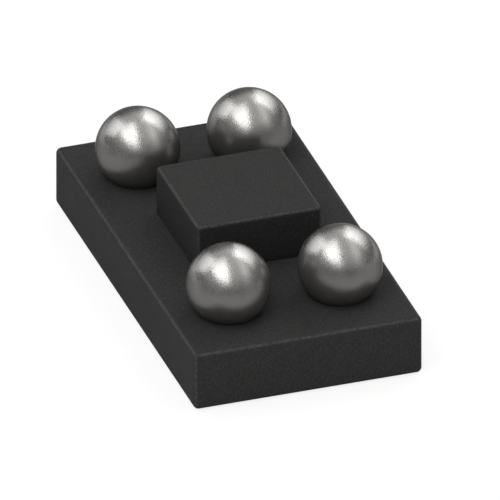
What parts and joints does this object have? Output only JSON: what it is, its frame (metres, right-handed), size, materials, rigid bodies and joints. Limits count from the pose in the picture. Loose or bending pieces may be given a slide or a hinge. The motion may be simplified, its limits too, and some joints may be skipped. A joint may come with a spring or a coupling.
{
  "type": "bga chip",
  "caption": "Small chip-scale package lying on its flat back, with solder balls near its corners and a smaller square die mounted face down between them.",
  "frame": {"origin": "centre of the solder ball grid in the seating plane, which touches the tips of the balls: the datum from which such a package is placed on a circuit board", "axes": "+X along the package, +Y across it, +Z out of the balls, towards the circuit board; the package lies below Z = 0, on its flat back, as in the picture"},
  "size_m": [0.0016, 0.0008, 0.0005],
  "materials": {
    "base_silicon": "matte",
    "centre_silicon": "matte",
    "resin": "matte",
    "pad_metal": "satin",
    "bump_metal": "satin",
    "solder": "satin"
  },
  "bodies": {
    "root": {"base_die": "base_silicon", "centre_die": "centre_silicon", "underfill": "resin", "ball_pad_a1": "pad_metal", "ball_pad_a2": "pad_metal", "ball_pad_b1": "pad_metal", "ball_pad_b2": "pad_metal", "bond_bump_a1": "bump_metal", "bond_bump_a2": "bump_metal", "bond_bump_b1": "bump_metal", "bond_bump_b2": "bump_metal", "solder_ball_a1": "solder", "solder_ball_a2": "solder", "solder_ball_b1": "solder", "solder_ball_b2": "solder"}
  },
  "joints": []
}
